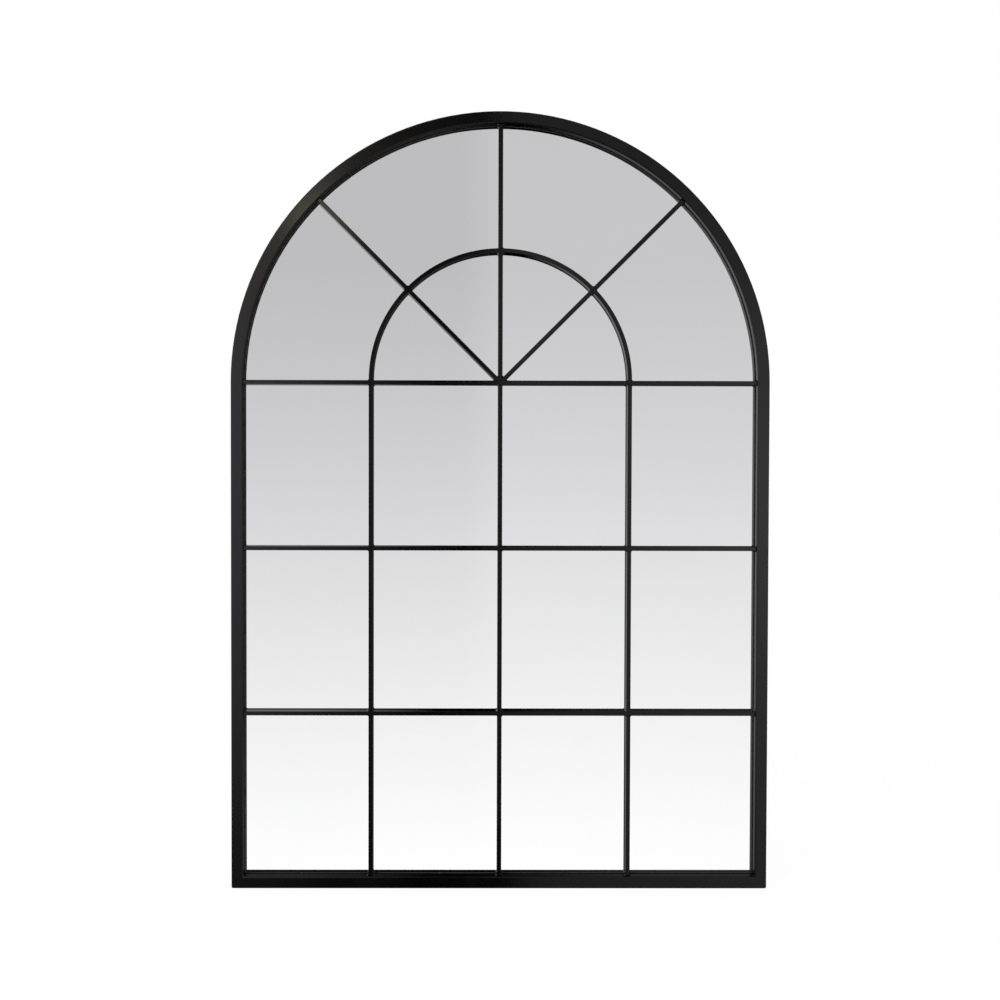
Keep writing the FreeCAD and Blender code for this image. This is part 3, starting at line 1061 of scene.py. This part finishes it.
@dataclass(frozen=True)
class RoomOnSteel:
    """Room that the coat shows: two lit sides and a dark gap round the camera.

    Attributes:
        left_reach: Turn to the left past which the light grows no more, in degrees.
        left_power: How steeply it grows up to there.
        left_levels: Pairs of a rise in degrees and the level of the left side there.
        left_tints: Pairs of a rise and the tint of the left side there.
        right_base: Level of the whole right side.
        right_reach: Turn over which the far right grows lighter.
        right_levels: Pairs of a rise and how much lighter the far right is there.
        right_tint: Tint of the right side.
        tint_span: Turn over which one tint gives way to the other.
        middle_reach: Turn at which the light next to the gap has faded, and at which
            it is full.
        middle_levels: Pairs of a rise and the level of that light there.
        gap_lean: Two rises, and the turn of the gap's right edge at each.
        gap_blur: Degrees past that edge at which the right side begins and is full.
        spot_place: Turn and rise of a small lamp.
        spot_reach: Its radius in degrees.
        spot_colour: Its colour.
    """

    left_reach: float = 11.5
    left_power: float = 1.4
    left_levels: Ramp = ((-19.0, 0.003), (-16.5, 0.0075), (-13.5, 0.0125),
                         (-10.5, 0.0205), (-5.0, 0.0275), (0.0, 0.0325), (5.0, 0.031),
                         (16.0, 0.029))
    left_tints: Ramp = ((-17.0, (0.96, 0.95, 1.08)), (3.0, (0.97, 0.96, 1.08)),
                        (8.0, (1.1, 0.98, 0.93)), (16.0, (1.1, 0.98, 0.86)))
    right_base: float = 0.31
    right_reach: Span = (5.0, 13.5)
    right_levels: Ramp = ((-17.5, 0.05), (-13.0, 0.2), (-10.0, 0.28), (-4.3, 0.5),
                          (-1.0, 0.6), (2.0, 0.48), (6.0, 0.27), (9.0, 0.1), (14.0, 0.0))
    right_tint: tuple[float, ...] = (1.0, 1.0, 0.98, 1.0)
    tint_span: Span = (0.0, 2.0)
    middle_reach: Span = (7.0, 3.5)
    middle_levels: Ramp = ((-10.5, 0.0), (-3.4, 0.04), (1.0, 0.12), (5.0, 0.22),
                           (9.0, 0.22), (13.0, 0.03), (16.0, 0.0))
    gap_lean: tuple[float, ...] = (-18.0, -11.0, 2.9, 1.5)
    gap_blur: Span = (-0.5, 0.5)
    spot_place: tuple[float, float] = (-6.2, 11.1)
    spot_reach: float = 1.9
    spot_colour: tuple[float, ...] = (4.0, 3.6, 2.8, 1.0)

    def left(self, graph: Graph, heading: Heading) -> Socket:
        """Light of the left side, none to the right of the middle.

        Args:
            graph: Graph of the world.
            heading: Direction of the ray.

        Returns:
            Its level.
        """
        aside = graph.math("MAXIMUM", graph.math("MULTIPLY", heading.turn, -1.0), 0.0)
        capped = graph.math("MINIMUM", aside, self.left_reach)
        reach = graph.math("POWER", capped, self.left_power)
        return graph.math("MULTIPLY", reach, graph.steps(heading.rise, self.left_levels))

    def right(self, graph: Graph, heading: Heading) -> Socket:
        """Light of the right side, none to the left of the gap's right edge.

        Args:
            graph: Graph of the world.
            heading: Direction of the ray.

        Returns:
            Its level.
        """
        side = graph.spread(heading.turn, *self.right_reach, smooth=True)
        level = graph.math("MULTIPLY_ADD", graph.steps(heading.rise, self.right_levels),
                           side, self.right_base)
        middle = graph.spread(heading.turn, *self.middle_reach)
        level = graph.math("MULTIPLY_ADD", graph.steps(heading.rise, self.middle_levels),
                           middle, level)
        past = graph.math("SUBTRACT", heading.turn,
                          graph.spread(heading.rise, *self.gap_lean))
        return graph.math("MULTIPLY", level, graph.spread(past, *self.gap_blur, smooth=True))

    def spot(self, graph: Graph, heading: Heading) -> Socket:
        """Share of the small lamp's light.

        Args:
            graph: Graph of the world.
            heading: Direction of the ray.

        Returns:
            1 at the lamp's middle, and 0 from its edge outwards.
        """
        across = graph.math("SUBTRACT", heading.turn, self.spot_place[0])
        up = graph.math("SUBTRACT", heading.rise, self.spot_place[1])
        squares = graph.math("ADD", graph.math("MULTIPLY", across, across),
                             graph.math("MULTIPLY", up, up))
        return graph.spread(graph.math("SQRT", squares), self.spot_reach, 0.0, smooth=True)

    def light(self, graph: Graph, heading: Heading) -> Socket:
        """Light that comes back along a ray.

        Args:
            graph: Graph of the world.
            heading: Direction of the ray.

        Returns:
            Its colour.
        """
        level = graph.math("ADD", self.right(graph, heading), self.left(graph, heading))
        side = graph.spread(heading.turn, *self.tint_span)
        tint = graph.blend(side, graph.steps(heading.rise, self.left_tints), self.right_tint)
        room = graph.tinted(tint, level)
        return graph.blend(self.spot(graph, heading), room, self.spot_colour)


@dataclass(frozen=True)
class RoomOnEdges:
    """Room that the sides of tubes and bars show by way of the mirror.

    Attributes:
        left_levels: Pairs of a rise in degrees and the level of the left side there.
        left_reach: Turn over which the left side grows to its level.
        right_levels: Pairs of a rise and the level of the right side there.
        right_reach: Turn over which the right side grows to its level.
        image_shares: Pairs of a turn and the share of the light that the image of a
            side in the mirror gets there.
    """

    left_levels: Ramp = ((-17.0, 0.2), (-10.0, 0.31), (-4.0, 0.38), (2.0, 0.42),
                         (11.5, 0.42), (15.5, 0.15), (18.0, 0.07))
    left_reach: Span = (-1.0, -7.0)
    right_levels: Ramp = ((-16.0, 0.1), (-10.0, 0.05), (11.5, 0.05), (15.0, 0.12))
    right_reach: Span = (1.0, 8.0)
    image_shares: Ramp = ((-12.5, 1.0), (-9.0, 0.2), (1.0, 0.2), (5.0, 0.7), (12.0, 0.8))

    def light(self, graph: Graph, heading: Heading, straight: Socket) -> Socket:
        """Light that comes back along a ray.

        Args:
            graph: Graph of the world.
            heading: Direction of the ray.
            straight: 1 where the side itself is seen, 0 where its image in the mirror is.

        Returns:
            Its colour.
        """
        left = graph.math("MULTIPLY", graph.steps(heading.rise, self.left_levels),
                          graph.spread(heading.turn, *self.left_reach))
        right = graph.math("MULTIPLY", graph.steps(heading.rise, self.right_levels),
                           graph.spread(heading.turn, *self.right_reach))
        share = graph.math("MAXIMUM", straight,
                           graph.steps(heading.turn, self.image_shares))
        level = graph.math("MULTIPLY", graph.math("ADD", left, right), share)
        plain = graph.add("CombineColor")
        for channel in plain.inputs:
            graph.feed(channel, level)
        return plain.outputs[0]


@dataclass(frozen=True)
class Studio:
    """White floor and backdrop, with soft light from all round and one large lamp.

    Attributes:
        floor_size: Width of the floor in metres.
        floor_pale: Colour of the floor.
        floor_shadow_share: Share of the shadow on the floor that is seen.
        soft_light: Level of the light from all round.
        lamp_place: Place of the lamp from the middle of the frame's underside.
        lamp_size: Width of the lamp in metres.
        lamp_power: Power of the lamp in watts.
        first_depth: Ray depth that parts a first bounce from later ones. The world
            counts one step more than a surface does.
        back_reach: Part of a ray's direction towards the wall, over which the rooms
            give way to one even light.
        back_light: Colour of that light.
        in_mirror: What the mirror shows.
        on_steel: What the coat shows.
        on_edges: What the coat shows by way of the mirror.
    """

    floor_size: float = 60.0
    floor_pale: tuple[float, ...] = (0.99, 0.99, 0.99, 1.0)
    floor_shadow_share: float = 0.1
    soft_light: float = 1.0
    lamp_place: tuple[float, float, float] = (-1.5, -1.9, 2.6)
    lamp_size: float = 1.4
    lamp_power: float = 60.0
    first_depth: float = 2.5
    back_reach: Span = (-0.4, 0.1)
    back_light: tuple[float, ...] = (0.34, 0.34, 0.34, 1.0)
    in_mirror: SheetInMirror = SheetInMirror()
    on_steel: RoomOnSteel = RoomOnSteel()
    on_edges: RoomOnEdges = RoomOnEdges()

    def floor(self) -> None:
        """Lay the floor under the mirror."""
        deselect()
        bpy.ops.mesh.primitive_plane_add(size=self.floor_size, location=(0, 0, CAD_LOW.z))
        floor = bpy.context.object
        floor.name = "floor"
        made = bpy.data.materials.new("pale_floor")
        made.use_nodes = True
        graph = Graph(made.node_tree)
        cloth = graph.add("BsdfDiffuse")
        cloth.inputs["Color"].default_value = self.floor_pale
        white = graph.add("Emission")
        mix = graph.add("MixShader")
        share = graph.math("MULTIPLY", self.seen(graph), 1.0 - self.floor_shadow_share)
        graph.feed(mix.inputs[0], share)
        graph.feed(mix.inputs[1], cloth.outputs[0])
        graph.feed(mix.inputs[2], white.outputs[0])
        graph.feed(graph.add("OutputMaterial").inputs["Surface"], mix.outputs[0])
        floor.data.materials.append(made)
        floor.visible_glossy = False
        LOG.info("floor at %.3f", CAD_LOW.z)

    def seen(self, graph: Graph) -> Socket:
        """Tell whether a ray comes from the camera, a reflection or through glass.

        Args:
            graph: Graph that asks.

        Returns:
            1 if so, else 0.
        """
        path = graph.add("LightPath").outputs
        gloss = graph.math("MAXIMUM", path["Is Camera Ray"], path["Is Glossy Ray"])
        return graph.math("MAXIMUM", gloss, path["Is Transmission Ray"])

    def reflected(self, graph: Graph, path: bpy.types.bpy_prop_collection) -> Socket:
        """Light that mirror and coat show.

        Args:
            graph: Graph of the world.
            path: Outputs of its Light Path node.

        Returns:
            Its colour.
        """
        split = graph.add("SeparateXYZ")
        graph.feed(split.inputs[0], graph.add("TexCoord").outputs["Generated"])
        x, y, z = split.outputs
        rise = graph.math("DEGREES", graph.math("ARCSINE", z))
        away = graph.math("ARCTAN2", x, graph.math("MULTIPLY", y, -1.0))
        heading = Heading(graph.math("DEGREES", away), rise)
        back = graph.spread(y, *self.back_reach, smooth=True)
        off_mirror = path["Is Singular Ray"]
        steel = graph.blend(back, self.on_steel.light(graph, heading), self.back_light)
        nearest = graph.blend(off_mirror, steel, self.in_mirror.light(graph, heading))
        edges = self.on_edges.light(graph, heading, off_mirror)
        further = graph.blend(back, edges, self.back_light)
        first = graph.math("LESS_THAN", path["Ray Depth"], self.first_depth)
        return graph.blend(first, further, nearest)

    def sky(self) -> None:
        """Light the scene from all round, and put the rooms into its reflections."""
        world = bpy.data.worlds.new("studio")
        bpy.context.scene.world = world
        world.use_nodes = True
        graph = Graph(world.node_tree)
        path = graph.add("LightPath").outputs
        soft = (self.soft_light, self.soft_light, self.soft_light, 1.0)
        light = graph.blend(path["Is Glossy Ray"], soft, self.reflected(graph, path))
        shown = graph.math("MAXIMUM", path["Is Camera Ray"], path["Is Transmission Ray"])
        background = graph.add("Background")
        graph.feed(background.inputs["Color"], graph.blend(shown, light, WHITE))
        graph.feed(graph.add("OutputWorld").inputs["Surface"], background.outputs[0])
        LOG.info("soft light of %.2f", self.soft_light)

    def lamp(self) -> None:
        """Hang a large lamp up on the left, for shape on the pale pieces."""
        data = bpy.data.lights.new("soft_lamp", "AREA")
        data.shape = "DISK"
        data.size = self.lamp_size
        data.energy = self.lamp_power
        lamp = bpy.data.objects.new("soft_lamp", data)
        bpy.context.scene.collection.objects.link(lamp)
        lamp.location = Vector(self.lamp_place) + Vector((0.0, 0.0, CAD_LOW.z))
        lamp.rotation_euler = (-lamp.location).to_track_quat("-Z", "Y").to_euler()
        lamp.visible_glossy = False
        LOG.info("lamp of %.0f W", self.lamp_power)

    def build(self) -> None:
        """Set up floor, light and colours."""
        self.floor()
        self.sky()
        self.lamp()
        bpy.context.scene.view_settings.view_transform = "Standard"


# ------------------------------------------------------------------------- main


def main() -> None:
    """Dress every piece and set up the studio."""
    logging.basicConfig(level=logging.INFO, format="%(name)s: %(message)s")
    finishes = {}
    for finish in (PowderCoat(), SilveredGlass(), FoamTape(), Hardboard(), PressedFelt()):
        finishes[finish.slot] = finish.material()
    SteelFrame(finishes[Slot.STEEL]).build()
    GlazingBars(finishes[Slot.STEEL]).build()
    GlassAndBack(finishes).build()
    WallHangings(finishes).build()
    Studio().build()
    Camera().build()


if __name__ == "__main__":
    main()
